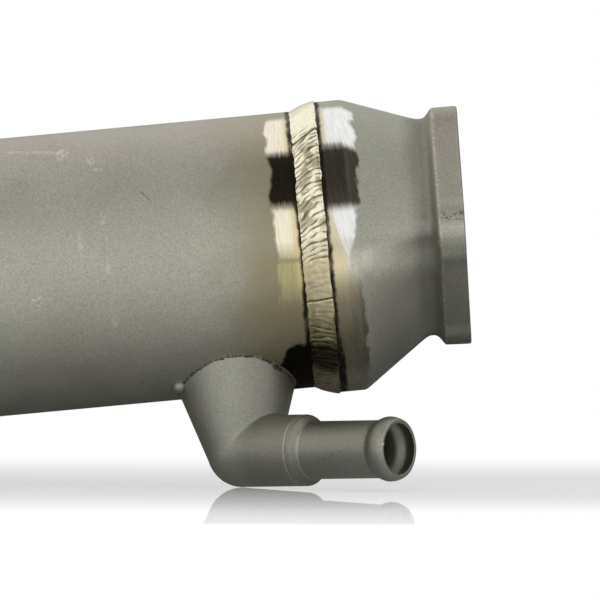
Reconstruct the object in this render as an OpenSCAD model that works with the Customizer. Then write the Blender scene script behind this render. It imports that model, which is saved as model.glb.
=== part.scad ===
// Shell-and-tube exhaust gas recirculation cooler: a round coolant shell with a cast
// flanged cap welded on each end and a bundle of gas tubes between two header plates.
// The origin is the centre of the front flange's gasket face. +X runs along the shell,
// +Z is up, the shell's axis lies just below the port and each flange is tilted a little.

/* [Shell] */
// Outside diameter of the coolant shell
shell_od = 127; // [110:1:150]
// Wall of the shell tube
shell_wall = 2; // [1.5:0.25:4]
// Length of the shell between its cut ends
shell_len = 435; // [300:1:700]

/* [End caps] */
// Wall of the socket that slips over the shell
socket_wall = 3.2; // [2.5:0.1:6]
// Depth of the socket over the shell
socket_depth = 10; // [7:0.5:14]
// Gap between shell and socket, and between shell and header plate
slip_gap = 0.1; // [0.05:0.05:0.3]
// Length of the round rim of a cap
rim_len = 16.5; // [15:0.5:30]
// Length of the cap from its round rim to its neck
cone_len = 32; // [22:1:60]
// Length of the neck behind the flange
neck_len = 7.5; // [5:0.5:12]
// Width of the ledge that the shell and the header plate seat on
seat_ledge = 2.5; // [1.5:0.5:4]
// How far the middle of the flange face lies above the shell's axis
port_offset = 4.5; // [0:0.5:9]

/* [Gas flanges] */
// Distance between two opposite flat sides of the flange
flange_side = 83; // [79:0.5:84]
// Thickness of the flange
flange_t = 12; // [9:0.5:18]
// How far the flange stands out from the neck
flange_lip = 5; // [2:0.1:5.2]
// Radius of each flange ear, round a bolt hole
ear_r = 12.75; // [11.5:0.25:14]
// Bolt circle of the tapped holes
bolt_pcd = 84; // [80:0.5:88]
// Tapping drill of the bolt holes
bolt_d = 8.5; // [6.5:0.5:9.5]
// Depth of the bolt holes
bolt_depth = 18; // [12:0.5:19]
// Diameter of the gas port
port_d = 60; // [46:1:62]
// Length of the straight gas port
port_len = 20; // [14:0.5:24]
// Tilt of the flange from square to the shell
flange_tilt = 1.6; // [0:0.1:3]

/* [Welds] */
// Reach of the end weld along the shell
weld_reach_shell = 7.3; // [5:0.1:8.5]
// Reach of the end weld over the cap's rim
weld_reach_cap = 4.7; // [4.2:0.1:6]
// Height of the end weld over the cap's rim
weld_stand = 0.8; // [0.5:0.1:0.9]
// Wall left at the tip of the cap's welding bevel
weld_land = 1; // [0.5:0.1:1.5]
// Swell of the end weld over a straight line between its toes
weld_crown = 0.6; // [0.4:0.1:1.2]
// Leg of the braze fillet round each coolant elbow
braze_leg = 0.8; // [0.6:0.1:2.5]
// Radius of the tack weld beside the front elbow
tack_r = 2.6; // [1.2:0.1:3]
// Place of the tack weld round the elbow's mouth, from straight behind towards the viewer
tack_turn = 24; // [0:1:60]

/* [Gas tubes] */
// Rings of tubes round the middle tube
tube_rings = 3; // [1:1:3]
// Outside diameter of a gas tube
tube_od = 12; // [8:0.5:13]
// Wall of a gas tube
tube_wall = 0.8; // [0.6:0.1:1.5]
// Steel left outside the outermost tubes
tube_edge = 7.4; // [4:0.2:10]
// How far the tubes stand out of the header plates
tube_proud = 1; // [0.5:0.5:3]
// Braze gap round a tube in its plate
tube_gap = 0.05; // [0.05:0.05:0.2]
// Thickness of a header plate
header_t = 8; // [5:0.5:9]
// Number of baffle plates in the coolant space
baffle_count = 4; // [2:1:6]
// Thickness of a baffle plate
baffle_t = 1.5; // [1:0.25:3]
// Steel left between a baffle's window and the row of tubes beside it
baffle_edge = 0.9; // [0.5:0.1:1.5]
// Gap between a baffle plate and the shell
baffle_gap = 0.3; // [0.1:0.1:0.8]

/* [Coolant elbows] */
// Distance of an elbow's axis from its flange face
elbow_x = 110.5; // [105:0.5:150]
// Distance from the shell's surface to the elbow's corner
elbow_drop = 30.3; // [25:0.1:45]
// Lean of the elbow from straight down, towards the viewer
elbow_lean = 17.5; // [0:0.5:30]
// Turn of the hose stub away from the elbow's axis
elbow_turn = 76.5; // [60:0.5:90]
// Swing of the hose stub away from the shell's axis
stub_swing = 34.5; // [0:0.5:60]
// Diameter of the elbow's mouth on the shell
mouth_d = 53.5; // [48:0.5:60]
// Outside diameter of the elbow's round corner and barrel
barrel_d = 33; // [30:0.1:36]
// Wall of the elbow
elbow_wall = 3.2; // [2.5:0.1:4]
// Length of the barrel from the elbow's corner
barrel_len = 35.6; // [28:0.2:50]

/* [Hose stubs] */
// Outside diameter of the hose stub
stub_od = 26.5; // [22:0.1:27]
// Wall of the hose stub
stub_wall = 1.8; // [1:0.1:2]
// Length of the stub beyond the barrel
stub_len = 53; // [42:0.2:80]
// Length of the straight collar against the barrel
collar_len = 1.2; // [1:0.1:6]
// Length of the rounded shoulder from the collar to the stub
shoulder_len = 5.4; // [4:0.1:12]
// Depth of the stub's spigot inside the barrel
spigot_len = 9; // [5:0.5:12]
// Radius of the roll that forms the hose bead
bead_r = 9.5; // [5:0.1:10]
// Height of the hose bead over the stub
bead_h = 1.6; // [1:0.1:2.5]
// Distance from the bead's crest to the mouth
bead_back = 5; // [4:0.1:9]

/* [Hidden] */
$fn = 96;
loft_fn = 48;
fine_fn = 480;
slice = 0.5;
overlap = 1;
blend = 0.1;
bite = 1.5;
curve_steps = 12;

shell_r = shell_od / 2;
shell_bore_r = shell_r - shell_wall;
socket_r = shell_r + slip_gap;
cap_r = socket_r + socket_wall;
chamber_r = shell_bore_r - seat_ledge;
header_r = shell_bore_r - slip_gap;
port_r = port_d / 2;
ear_spot = bolt_pcd / 2 / sqrt(2);

// Stations along X, from the front flange's face backwards
flange_back_x = -flange_t;
neck_x = flange_back_x - neck_len;
knuckle_x = neck_x - cone_len;
cap_end_x = knuckle_x - rim_len;
shell_end_x = cap_end_x + socket_depth;
header_x = shell_end_x - header_t;
total_len = shell_len - 2 * shell_end_x;

// The cap's welding bevel ends where a straight line between the weld's toes clears the rim
weld_run = weld_reach_shell + weld_reach_cap - weld_stand;
weld_rise = cap_r + weld_stand - shell_r;
bevel_len = weld_reach_cap - weld_stand - weld_stand * weld_run / weld_rise;

tube_r = tube_od / 2;
tube_pitch = (header_r - tube_edge - tube_r) / tube_rings;
row_rise = tube_pitch * sqrt(3) / 2;
tube_len = shell_len + 2 * tube_proud;
tube_spots = [
    for (row = [-tube_rings : tube_rings], column = [0 : 2 * tube_rings - abs(row)])
        [(column + abs(row) / 2 - tube_rings) * tube_pitch, row * row_rise]
];
baffle_r = shell_bore_r - baffle_gap;
baffle_step = (shell_len - 2 * header_t) / (baffle_count + 1);
baffle_cut = (tube_rings - 1) * row_rise + tube_r + tube_gap + baffle_edge;

corner_z = shell_r + elbow_drop;
barrel_r = barrel_d / 2;
barrel_bore_r = barrel_r - elbow_wall;
mouth_bore_d = mouth_d - 2 * elbow_wall;
// The elbow's cone starts inside the shell so that the shell's surface trims all of its rim
saddle_depth = shell_r - sqrt(pow(shell_r, 2) - pow(mouth_d / 2 + elbow_wall, 2)) + 2 * overlap;

stub_r = stub_od / 2;
stub_bore_r = stub_r - stub_wall;
spigot_r = barrel_bore_r - slip_gap / 2;
bead_crest_s = barrel_len + stub_len - bead_back;
shoulder_s = barrel_len + collar_len;

function tube_name(i) = str("gas_tube_", i < 9 ? "0" : "", i + 1);
function baffle_name(i) = str("baffle_plate_", i + 1);

// Half-angle of the cone from a mouth on the shell's surface that just touches the corner's ball
function cone_angle(mouth_r, ball_r) =
    acos(ball_r / norm([mouth_r, elbow_drop])) - atan2(elbow_drop, mouth_r);

// Places its children, made for the front end, at the rear end of the cooler
module to_rear() {
    translate([-total_len, 0, -2 * port_offset]) rotate([0, 180, 0]) children();
}

// Turns children made along +Z so that they lie along +X on the shell's axis
module on_shell_axis(x = 0) {
    translate([x, 0, -port_offset]) rotate([0, 90, 0]) children();
}

// Tilts what belongs to the front flange about the middle of its face
module at_flange() {
    rotate([0, flange_tilt, 0]) children();
}

// Extrudes an outline drawn in Y and Z along +X
module along_x(x, length) {
    translate([x, 0, 0]) rotate([90, 0, 90]) linear_extrude(length) children();
}

// Local frame of the front elbow: its origin on the shell's axis and +Z out of the shell
module at_elbow() {
    translate([-elbow_x, 0, -port_offset]) rotate([180 - elbow_lean, 0, 0]) children();
}

// Local frame of the front barrel and stub: its origin at the elbow's corner, +Z to the mouth
module at_barrel() {
    at_elbow() translate([0, 0, corner_z]) rotate([0, elbow_turn, stub_swing]) children();
}

// The shell's outside as a solid bar, to trim what sits on it
module shell_bar(extra = 0) {
    on_shell_axis(-total_len) cylinder(r = shell_r + extra, h = total_len);
}

module shell() {
    color("darkgray") difference() {
        on_shell_axis(shell_end_x - shell_len) cylinder(r = shell_r, h = shell_len);
        on_shell_axis(shell_end_x - shell_len - overlap)
            cylinder(r = shell_bore_r, h = shell_len + 2 * overlap);
        at_elbow() cylinder(d = mouth_bore_d, h = corner_z);
        to_rear() at_elbow() cylinder(d = mouth_bore_d, h = corner_z);
    }
}

// Flange outline with its ears on Y and Z, drawn in by an even inset
module flange_outline(inset = 0) {
    flat = flange_side - 2 * inset;
    rotate(45) {
        square([flat, 2 * ear_spot], center = true);
        square([2 * ear_spot, flat], center = true);
        for (y = [-1, 1], z = [-1, 1])
            translate([y * ear_spot, z * ear_spot]) circle(ear_r - inset);
    }
}

// Outside of a cap: round rim, cone to the neck, neck with its fillet, and flange. The cone
// runs past the rim and the neck by a bite, so that each pair of surfaces crosses plainly.
module cap_outside() {
    intersection() {
        on_shell_axis(cap_end_x) rotate_extrude() polygon([
            [0, 0], [socket_r + weld_land, 0], [cap_r, bevel_len],
            [cap_r, rim_len + cone_len + neck_len], [0, rim_len + cone_len + neck_len]
        ]);
        hull() {
            on_shell_axis(cap_end_x - overlap)
                cylinder(r = cap_r + bite, h = rim_len + overlap - 2 * bite, $fn = loft_fn);
            at_flange() along_x(neck_x + bite, slice) flange_outline(flange_lip + bite, $fn = loft_fn);
        }
    }
    at_flange() {
        along_x(neck_x - 2 * bite, neck_len + 3 * bite) flange_outline(flange_lip);
        hull() {
            along_x(flange_back_x - flange_lip, slice)
                flange_outline(flange_lip + bite, $fn = loft_fn);
            along_x(flange_back_x + bite, slice) flange_outline(bite / 2, $fn = loft_fn);
        }
        along_x(flange_back_x, flange_t) flange_outline();
    }
}

// Gas passage of a cap: socket for the shell, chamber, funnel and straight port
module cap_inside() {
    on_shell_axis(cap_end_x - overlap) cylinder(r = socket_r, h = socket_depth + overlap);
    on_shell_axis(shell_end_x - overlap)
        cylinder(r = chamber_r, h = knuckle_x - shell_end_x + overlap);
    hull() {
        on_shell_axis(knuckle_x - bite) cylinder(r = chamber_r - bite, h = slice, $fn = loft_fn);
        at_flange() along_x(bite - port_len, slice) circle(port_r - bite, $fn = loft_fn);
    }
    at_flange() along_x(-port_len, port_len + overlap) circle(port_r);
}

module end_cap() {
    difference() {
        cap_outside();
        cap_inside();
        at_flange() for (turn = [0 : 90 : 270])
            rotate([turn, 0, 0]) translate([-bolt_depth, 0, bolt_pcd / 2])
                rotate([0, 90, 0]) cylinder(d = bolt_d, h = bolt_depth + overlap);
    }
}

module front_end_cap() { color("gray") end_cap(); }
module rear_end_cap() { color("gray") to_rear() end_cap(); }

// Lap weld between the shell and the cap's end face, swelling between its two toes
module weld_bead() {
    toe_shell = [shell_r, -weld_reach_shell];
    toe_cap = [cap_r, weld_reach_cap];
    shoulder = [cap_r + weld_stand, weld_reach_cap - weld_stand];
    chord = shoulder - toe_shell;
    outward = [chord[1], -chord[0]] / norm(chord);
    crown = [
        for (i = [0 : curve_steps])
            toe_shell + chord * i / curve_steps + outward * weld_crown * sin(180 * i / curve_steps)
    ];
    on_shell_axis(cap_end_x) rotate_extrude()
        polygon(concat(crown, [toe_cap, [cap_r, bevel_len], [socket_r + weld_land, 0], [shell_r, 0]]));
}

module front_weld_bead() { color("wheat") weld_bead(); }
module rear_weld_bead() { color("wheat") to_rear() weld_bead(); }

// Holes for the gas tubes, through a plate that starts at x
module tube_holes(x, thickness) {
    for (spot = tube_spots)
        translate([x - overlap, spot[0], spot[1] - port_offset]) rotate([0, 90, 0])
            cylinder(r = tube_r + tube_gap, h = thickness + 2 * overlap);
}

module header_plate() {
    difference() {
        on_shell_axis(header_x) cylinder(r = header_r, h = header_t);
        tube_holes(header_x, header_t);
    }
}

module front_header_plate() { color("silver") header_plate(); }
module rear_header_plate() { color("silver") to_rear() header_plate(); }

module gas_tube(i) {
    spot = tube_spots[i];
    color("lightgray") translate([shell_end_x + tube_proud - tube_len, spot[0], spot[1] - port_offset])
        rotate([0, 90, 0]) difference() {
            cylinder(r = tube_r, h = tube_len);
            translate([0, 0, -overlap]) cylinder(r = tube_r - tube_wall, h = tube_len + 2 * overlap);
        }
}

// Baffle with its window cut off between two tube rows, at the top and the bottom in turn
module baffle_plate(i) {
    x = header_x - (i + 1) * baffle_step - baffle_t / 2;
    side = i % 2 == 0 ? 1 : -1;
    color("silver") difference() {
        on_shell_axis(x) cylinder(r = baffle_r, h = baffle_t);
        tube_holes(x, baffle_t);
        translate([x - overlap, -shell_r, side * (baffle_cut + shell_r) - shell_r - port_offset])
            cube([baffle_t + 2 * overlap, shell_od, shell_od]);
    }
}

// Cone from the shell to the corner's ball; the ball stands out a little so that the two cross cleanly
module elbow_cone(mouth_r, ball_r, grow = 0) {
    angle = cone_angle(mouth_r, ball_r - blend);
    touch_z = corner_z + (ball_r - blend) * sin(angle);
    start_z = shell_r - saddle_depth;
    translate([0, 0, start_z])
        cylinder(
            r1 = mouth_r + saddle_depth * tan(angle) + grow,
            r2 = (ball_r - blend) * cos(angle) + grow,
            h = touch_z - start_z
        );
}

module elbow_outside() {
    at_elbow() elbow_cone(mouth_d / 2, barrel_r);
    at_elbow() translate([0, 0, corner_z]) sphere(barrel_r);
    at_barrel() cylinder(r = barrel_r - blend, h = barrel_len);
}

module elbow_inside() {
    at_elbow() elbow_cone(mouth_bore_d / 2, barrel_bore_r);
    at_elbow() translate([0, 0, corner_z]) sphere(barrel_bore_r + blend / 2);
    at_barrel() cylinder(r = barrel_bore_r, h = barrel_len + overlap);
}

module coolant_elbow() {
    difference() {
        elbow_outside();
        elbow_inside();
        shell_bar();
    }
}

module front_coolant_elbow() { color("dimgray") coolant_elbow(); }
module rear_coolant_elbow() { color("dimgray") to_rear() coolant_elbow(); }

// Formed hose stub: spigot, collar, rounded shoulder, straight tube and rolled bead
module hose_stub() {
    mouth_s = barrel_len + stub_len;
    drop = barrel_r - blend - stub_r;
    shoulder = [
        for (i = [0 : curve_steps])
            [stub_r + drop * (1 + cos(180 * i / curve_steps)) / 2,
             shoulder_s + shoulder_len * i / curve_steps]
    ];
    at_barrel() rotate_extrude() difference() {
        union() {
            polygon(concat([[0, barrel_len], [barrel_r - blend, barrel_len]], shoulder,
                [[stub_r, mouth_s], [0, mouth_s]]));
            translate([0, barrel_len - spigot_len]) square([spigot_r, spigot_len + overlap]);
            intersection() {
                translate([stub_r + bead_h - bead_r, bead_crest_s]) circle(bead_r);
                translate([0, bead_crest_s - bead_r]) square([stub_r + bead_h, bead_r + bead_back]);
            }
        }
        translate([0, barrel_len - spigot_len - overlap])
            square([stub_bore_r, spigot_len + stub_len + 2 * overlap]);
        translate([stub_bore_r + bead_h - bead_r, bead_crest_s]) circle(bead_r);
        translate([-shell_r, 0]) square([shell_r, 2 * mouth_s]);
    }
}

module front_hose_stub() { color("dimgray") hose_stub(); }
module rear_hose_stub() { color("dimgray") to_rear() hose_stub(); }

// Braze fillet in the corner between the shell and an elbow's mouth
module saddle_braze() {
    difference() {
        intersection() {
            shell_bar(braze_leg);
            at_elbow() elbow_cone(mouth_d / 2, barrel_r, braze_leg);
        }
        shell_bar();
        at_elbow() elbow_cone(mouth_d / 2, barrel_r);
    }
}

module front_saddle_braze() { color("gray") saddle_braze(); }
module rear_saddle_braze() { color("gray") to_rear() saddle_braze(); }

// Round tack weld on the shell, just outside the front elbow's fillet
module front_tack_weld() {
    near = mouth_d / 2 * sin(tack_turn);
    dip = shell_r - sqrt(pow(shell_r, 2) - pow(near, 2));
    foot = mouth_d / 2 + dip * tan(cone_angle(mouth_d / 2, barrel_r - blend)) + braze_leg;
    reach = foot + tack_r + slip_gap;
    height = sqrt(pow(shell_r, 2) - pow(reach * sin(tack_turn), 2));
    color("gray") difference() {
        at_elbow() rotate([0, 0, -tack_turn]) translate([-reach, 0, height]) sphere(tack_r);
        shell_bar($fn = fine_fn);
    }
}

shell();
front_end_cap();
rear_end_cap();
front_weld_bead();
rear_weld_bead();
front_header_plate();
rear_header_plate();
front_coolant_elbow();
rear_coolant_elbow();
front_hose_stub();
rear_hose_stub();
front_saddle_braze();
rear_saddle_braze();
front_tack_weld();
for (i = [0 : baffle_count - 1])
    baffle_plate(i);
for (i = [0 : len(tube_spots) - 1])
    gas_tube(i);
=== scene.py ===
"""Exhaust gas recirculation cooler: its pieces, their finishes and a plain studio."""

import logging
import math
from dataclasses import dataclass
from enum import Enum
from functools import cached_property
from typing import Iterable, Sequence

import bmesh
import bpy
from mathutils import Matrix, Vector, noise


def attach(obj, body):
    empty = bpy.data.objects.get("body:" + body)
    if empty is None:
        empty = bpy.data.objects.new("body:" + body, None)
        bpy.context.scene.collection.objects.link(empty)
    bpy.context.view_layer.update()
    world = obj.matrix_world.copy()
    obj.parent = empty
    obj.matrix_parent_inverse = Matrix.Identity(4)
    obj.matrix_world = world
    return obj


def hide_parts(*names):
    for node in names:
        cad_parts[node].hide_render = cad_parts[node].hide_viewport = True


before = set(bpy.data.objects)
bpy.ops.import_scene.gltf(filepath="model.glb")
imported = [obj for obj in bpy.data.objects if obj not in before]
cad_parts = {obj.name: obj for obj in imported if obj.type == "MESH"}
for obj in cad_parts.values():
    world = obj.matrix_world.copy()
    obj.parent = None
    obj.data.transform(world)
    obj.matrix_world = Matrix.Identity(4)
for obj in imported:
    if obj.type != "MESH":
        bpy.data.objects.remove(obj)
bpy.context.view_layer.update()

MM = 0.001
TURN = 2.0 * math.pi
DEGREE = math.pi / 180.0
MERGE = 1e-4
LOG = logging.getLogger("cooler")

Colour = tuple[float, float, float]
Span = tuple[float, float]
Band = tuple[float, float, float]
Socket = bpy.types.NodeSocket
Material = bpy.types.Material
Piece = bpy.types.Object
Mesh = bmesh.types.BMesh


def clamp(value: float, low: float = 0.0, high: float = 1.0) -> float:
    """Holds a number between two limits."""
    return max(low, min(high, value))


def ease(value: float, low: float, high: float) -> float:
    """Smooth step from 0 at low to 1 at high."""
    t = clamp((value - low) / (high - low))
    return t * t * (3.0 - 2.0 * t)


@dataclass(frozen=True)
class Layout:
    """Sizes in millimetres and degrees that more than one sub-assembly needs."""

    total_len: float = 551.0
    axis_z: float = -4.5
    shell_r: float = 63.5
    socket_r: float = 63.6
    cap_r: float = 66.8
    cap_end_x: float = -68.0
    flange_tilt: float = 1.6
    elbow_x: float = -110.5
    corner_drop: float = 93.8
    elbow_lean: float = 17.5
    elbow_turn: float = 76.5
    stub_swing: float = 34.5
    mouth_r: float = 26.75
    barrel_r: float = 16.4
    barrel_len: float = 35.6

    def shell_frame(self) -> Matrix:
        """Local +Z laid along +X on the shell's axis."""
        return Matrix.Translation((0.0, 0.0, self.axis_z)) @ Matrix.Rotation(math.pi / 2, 4, "Y")

    def flange_frame(self) -> Matrix:
        """Tilt of the front flange about the middle of its face."""
        return Matrix.Rotation(math.radians(self.flange_tilt), 4, "Y")

    def elbow_frame(self) -> Matrix:
        """Local +Z out of the shell along the front elbow, from the shell's axis."""
        lean = Matrix.Rotation(math.pi - math.radians(self.elbow_lean), 4, "X")
        return Matrix.Translation((self.elbow_x, 0.0, self.axis_z)) @ lean

    def barrel_frame(self) -> Matrix:
        """Local +Z along the front barrel and stub, from the elbow's corner.

        Returns:
            The frame.
        """
        turn = Matrix.Rotation(math.radians(self.elbow_turn), 4, "Y")
        swing = Matrix.Rotation(math.radians(self.stub_swing), 4, "Z")
        return self.elbow_frame() @ Matrix.Translation((0.0, 0.0, self.corner_drop)) @ swing @ turn


LAYOUT = Layout()


class End(Enum):
    """The two ends; the rear one is the front one turned end for end."""

    FRONT = "front"
    REAR = "rear"

    @property
    def matrix(self) -> Matrix:
        """Carries a piece made for the front to this end, in millimetres.

        Returns:
            The move.
        """
        if self is End.FRONT:
            return Matrix.Identity(4)
        move = Matrix.Translation((-LAYOUT.total_len, 0.0, 2.0 * LAYOUT.axis_z))
        return move @ Matrix.Rotation(math.pi, 4, "Y")


class Slot(Enum):
    """Names of material slots in the record; nothing here assigns them."""

    CAST = "cast_steel"
    WELD = "weld_metal"
    ELBOW = "elbow_steel"
    STUB = "stub_steel"


class Value:
    """A number, vector, colour or shader in a material; arithmetic on it adds nodes."""

    def __init__(self, graph: "Graph", socket: Socket) -> None:
        """Keeps a result with its material.

        Args:
            graph: The material.
            socket: Output of one of its nodes.
        """
        self.graph, self.socket = graph, socket

    def __add__(self, other: object) -> "Value":
        """Sum of two numbers."""
        return self.graph.math("ADD", self, other)

    def __sub__(self, other: object) -> "Value":
        """Difference of two numbers."""
        return self.graph.math("SUBTRACT", self, other)

    def __rsub__(self, other: float) -> "Value":
        """This number taken from a plain one."""
        return self.graph.math("SUBTRACT", other, self)

    def __mul__(self, other: object) -> "Value":
        """Product of two numbers."""
        return self.graph.math("MULTIPLY", self, other)

    def minus(self, other: object) -> "Value":
        """Difference of two vectors."""
        return self.graph.vector("SUBTRACT", self, other)

    def times(self, factors: Colour) -> "Value":
        """This vector or colour with one factor for each part."""
        return self.graph.vector("MULTIPLY", self, factors)

    def dot(self, other: Colour) -> "Value":
        """Dot product of two vectors."""
        return self.graph.vector("DOT_PRODUCT", self, other)

    def length(self) -> "Value":
        """Length of this vector."""
        return self.graph.vector("LENGTH", self)

    def of(self, vector: object) -> "Value":
        """A vector or colour multiplied by this number."""
        return self.graph.vector("SCALE", vector, self)

    @cached_property
    def parts(self) -> tuple["Value", "Value", "Value"]:
        """The three parts of this vector."""
        made = self.graph.add("SeparateXYZ", [(0, self)]).socket.node
        return tuple(Value(self.graph, made.outputs[i]) for i in range(3))

    @cached_property
    def lift(self) -> "Value":
        """Angle of this point round the shell's axis in degrees: 0 towards -Y, 90 at the top."""
        _, y, z = self.parts
        return self.graph.math("ARCTAN2", z - LAYOUT.axis_z, y * -1.0) * (1.0 / DEGREE)

    def noise(self, scale: float, detail: float = 2.0, roughness: float = 0.5) -> "Value":
        """Noise between about 0.2 and 0.8.

        Args:
            scale: Features per unit of these coordinates.
            detail: Octaves.
            roughness: Share of each finer octave.

        Returns:
            The noise value.
        """
        return self.graph.add("TexNoise", {"Vector": self, "Scale": scale, "Detail": detail,
                                           "Roughness": roughness}.items())

    def streaks(self, along: float, around: float, detail: float = 3.0) -> "Value":
        """Noise with its own number of features per millimetre along X and round it."""
        return self.times((along, around, around)).noise(1.0, detail, 0.6)

    def step(self, low: float, high: float, start: float = 0.0, stop: float = 1.0) -> "Value":
        """Smooth step of this number.

        Args:
            low: Where the step begins.
            high: Where the step ends.
            start: Result before it.
            stop: Result after it.

        Returns:
            The stepped value.
        """
        return self.graph.add("MapRange", enumerate((self, low, high, start, stop)),
                              interpolation_type="SMOOTHSTEP")

    def drop(self, low: float, high: float) -> "Value":
        """Smooth step from 1 at low to 0 at high."""
        return self.step(low, high, 1.0, 0.0)

    def between(self, low: object, high: object, soft: float) -> "Value":
        """1 between two limits and 0 outside them, with soft edges of that width."""
        return (self - low).step(-soft, soft) * (self - high).drop(-soft, soft)

    def blend(self, first: object, second: object) -> "Value":
        """Colour between two colours, by this share."""
        return self.graph.add("Mix", zip((0, 6, 7), (self, first, second)), 2, data_type="RGBA")

    def number(self, first: object, second: object) -> "Value":
        """Number between two numbers, by this share."""
        return self.graph.add("Mix", zip((0, 2, 3), (self, first, second)), data_type="FLOAT")

    def ramp(self, stops: Sequence[tuple[float, Colour]]) -> "Value":
        """Colour at this place, from 0 to 1, of a row of places and their colours.

        Args:
            stops: Places and colours, two or more.

        Returns:
            The colour.
        """
        made = self.graph.add("ValToRGB", [(0, self)])
        band = made.socket.node.color_ramp.elements
        while len(band) < len(stops):
            band.new(0.5)
        for element, (place, colour) in zip(band, stops):
            element.position, element.color = place, (*colour, 1.0)
        return made


@dataclass
class Coat:
    """The colour, roughness and relief in millimetres that a finish has built up so far."""

    colour: Value
    roughness: Value
    height: Value

    def painted(self, share: Value, tone: object, rough: object = None, height: object = None) -> "Coat":
        """Lays another coat over a share of this one.

        Args:
            share: Where, from 0 to 1.
            tone: Its colour.
            rough: Its roughness; None keeps the one below.
            height: Its relief; None keeps the one below.

        Returns:
            The new coat.
        """
        return Coat(share.blend(self.colour, tone),
                    self.roughness if rough is None else share.number(self.roughness, rough),
                    self.height if height is None else share.number(self.height, height))


class Graph:
    """A material's node tree."""

    def __init__(self, name: str) -> None:
        """Starts an empty material of that name.

        Args:
            name: Name of the material.
        """
        self.material = bpy.data.materials.new(name)
        self.material.use_nodes = True
        self.tree = self.material.node_tree
        self.tree.nodes.clear()

    def add(self, kind: str, inputs: Iterable[tuple[int | str, object]] = (), out: int | str = 0,
            **settings: object) -> Value:
        """Adds a node.

        Args:
            kind: Node type without its ShaderNode prefix.
            inputs: Keys of its inputs, each with a value, a socket, a number or a tuple of numbers.
            out: Key of the output that is wanted.
            settings: Options of the node.

        Returns:
            That output.
        """
        made = self.tree.nodes.new("ShaderNode" + kind)
        for key, value in settings.items():
            setattr(made, key, value)
        for key, value in inputs:
            socket = made.inputs[key]
            if isinstance(value, Value):
                self.tree.links.new(value.socket, socket)
            else:
                socket.default_value = (*value, 1.0) if socket.type == "RGBA" else value
        return Value(self, made.outputs[out])

    def math(self, operation: str, *values: object, hold: bool = False) -> Value:
        """Result of a Math node; hold keeps it between 0 and 1."""
        return self.add("Math", enumerate(values), operation=operation, use_clamp=hold)

    def vector(self, operation: str, *values: object) -> Value:
        """Result of a Vector Math node; SCALE takes a vector and a number.

        Args:
            operation: Name of the operation.
            values: Vectors or numbers that it works on.

        Returns:
            The vector, or the number of a dot product or a length.
        """
        keys = (0, 3) if operation == "SCALE" else range(len(values))
        out = 1 if operation in ("DOT_PRODUCT", "LENGTH") else 0
        return self.add("VectorMath", zip(keys, values), out, operation=operation)

    def join(self, x: object, y: object, z: object) -> Value:
        """A vector from its three parts."""
        return self.add("CombineXYZ", enumerate((x, y, z)))

    def place(self, end: End) -> Value:
        """Object coordinates in millimetres, turned back to the front for a rear piece.

        Args:
            end: End that the piece belongs to.

        Returns:
            The coordinates.
        """
        point = self.vector("SCALE", self.add("TexCoord", out="Object"), 1.0 / MM)
        if end is End.FRONT:
            return point
        move = (-LAYOUT.total_len, 0.0, 2.0 * LAYOUT.axis_z)
        return self.vector("MULTIPLY_ADD", point, (-1.0, 1.0, -1.0), move)

    def place_both(self) -> Value:
        """Object coordinates in millimetres with the rear half folded onto the front.

        Returns:
            The coordinates.
        """
        point, turned = self.place(End.FRONT), self.place(End.REAR)
        rear = self.math("LESS_THAN", point.parts[0], -LAYOUT.total_len / 2)
        return self.add("Mix", zip((0, 4, 5), (rear, point, turned)), 1, data_type="VECTOR")

    def finish(self, coat: Coat) -> Material:
        """Feeds a metal shader from a coat and returns the material.

        Args:
            coat: Colour, roughness and relief.

        Returns:
            The finished material.
        """
        bump = self.add("Bump", {"Strength": 1.0, "Distance": MM, "Height": coat.height}.items())
        return self.surface(self.add("BsdfPrincipled", {
            "Metallic": 1.0, "Base Color": coat.colour, "Roughness": coat.roughness, "Normal": bump}.items()))

    def surface(self, shader: Value) -> Material:
        """Makes a shader the material's surface and returns the material.

        Args:
            shader: The shader.

        Returns:
            The finished material.
        """
        made = self.tree.nodes.new("ShaderNodeOutputMaterial")
        self.tree.links.new(shader.socket, made.inputs["Surface"])
        return self.material

    def glow(self, tone: Value) -> Value:
        """Shader that shines in one grey."""
        return self.add("Emission", [("Color", self.join(tone, tone, tone))])

    def mixed(self, share: Value, first: Value, second: Value) -> Value:
        """Shader between two shaders."""
        return self.add("MixShader", enumerate((share, first, second)))

    def one_sided(self, shader: Value) -> Material:
        """Makes a shader the surface of the faces' front sides; their backs are clear."""
        back = self.add("NewGeometry", out="Backfacing")
        return self.surface(self.mixed(back, shader, self.add("BsdfTransparent")))


def do(operation: str, *values: object) -> object:
    """A Math node's operation, on material values or on plain numbers.

    Args:
        operation: Name of the operation.
        values: What it works on.

    Returns:
        A material value if the first value is one, else a number.
    """
    if isinstance(values[0], Value):
        return values[0].graph.math(operation, *values)
    plain = {"SINE": math.sin, "ARCSINE": math.asin, "SQRT": math.sqrt, "ABSOLUTE": abs, "MAXIMUM": max}
    return plain[operation](*values)


def stepped(value: object, low: float, high: float, start: float = 0.0, stop: float = 1.0) -> object:
    """Smooth step of a material value or of a plain number.

    Args:
        value: What is read.
        low: Where the step begins.
        high: Where the step ends.
        start: Result before it.
        stop: Result after it.

    Returns:
        The stepped value.
    """
    if isinstance(value, Value):
        return value.step(low, high, start, stop)
    return start + (stop - start) * ease(value, low, high)


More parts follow.
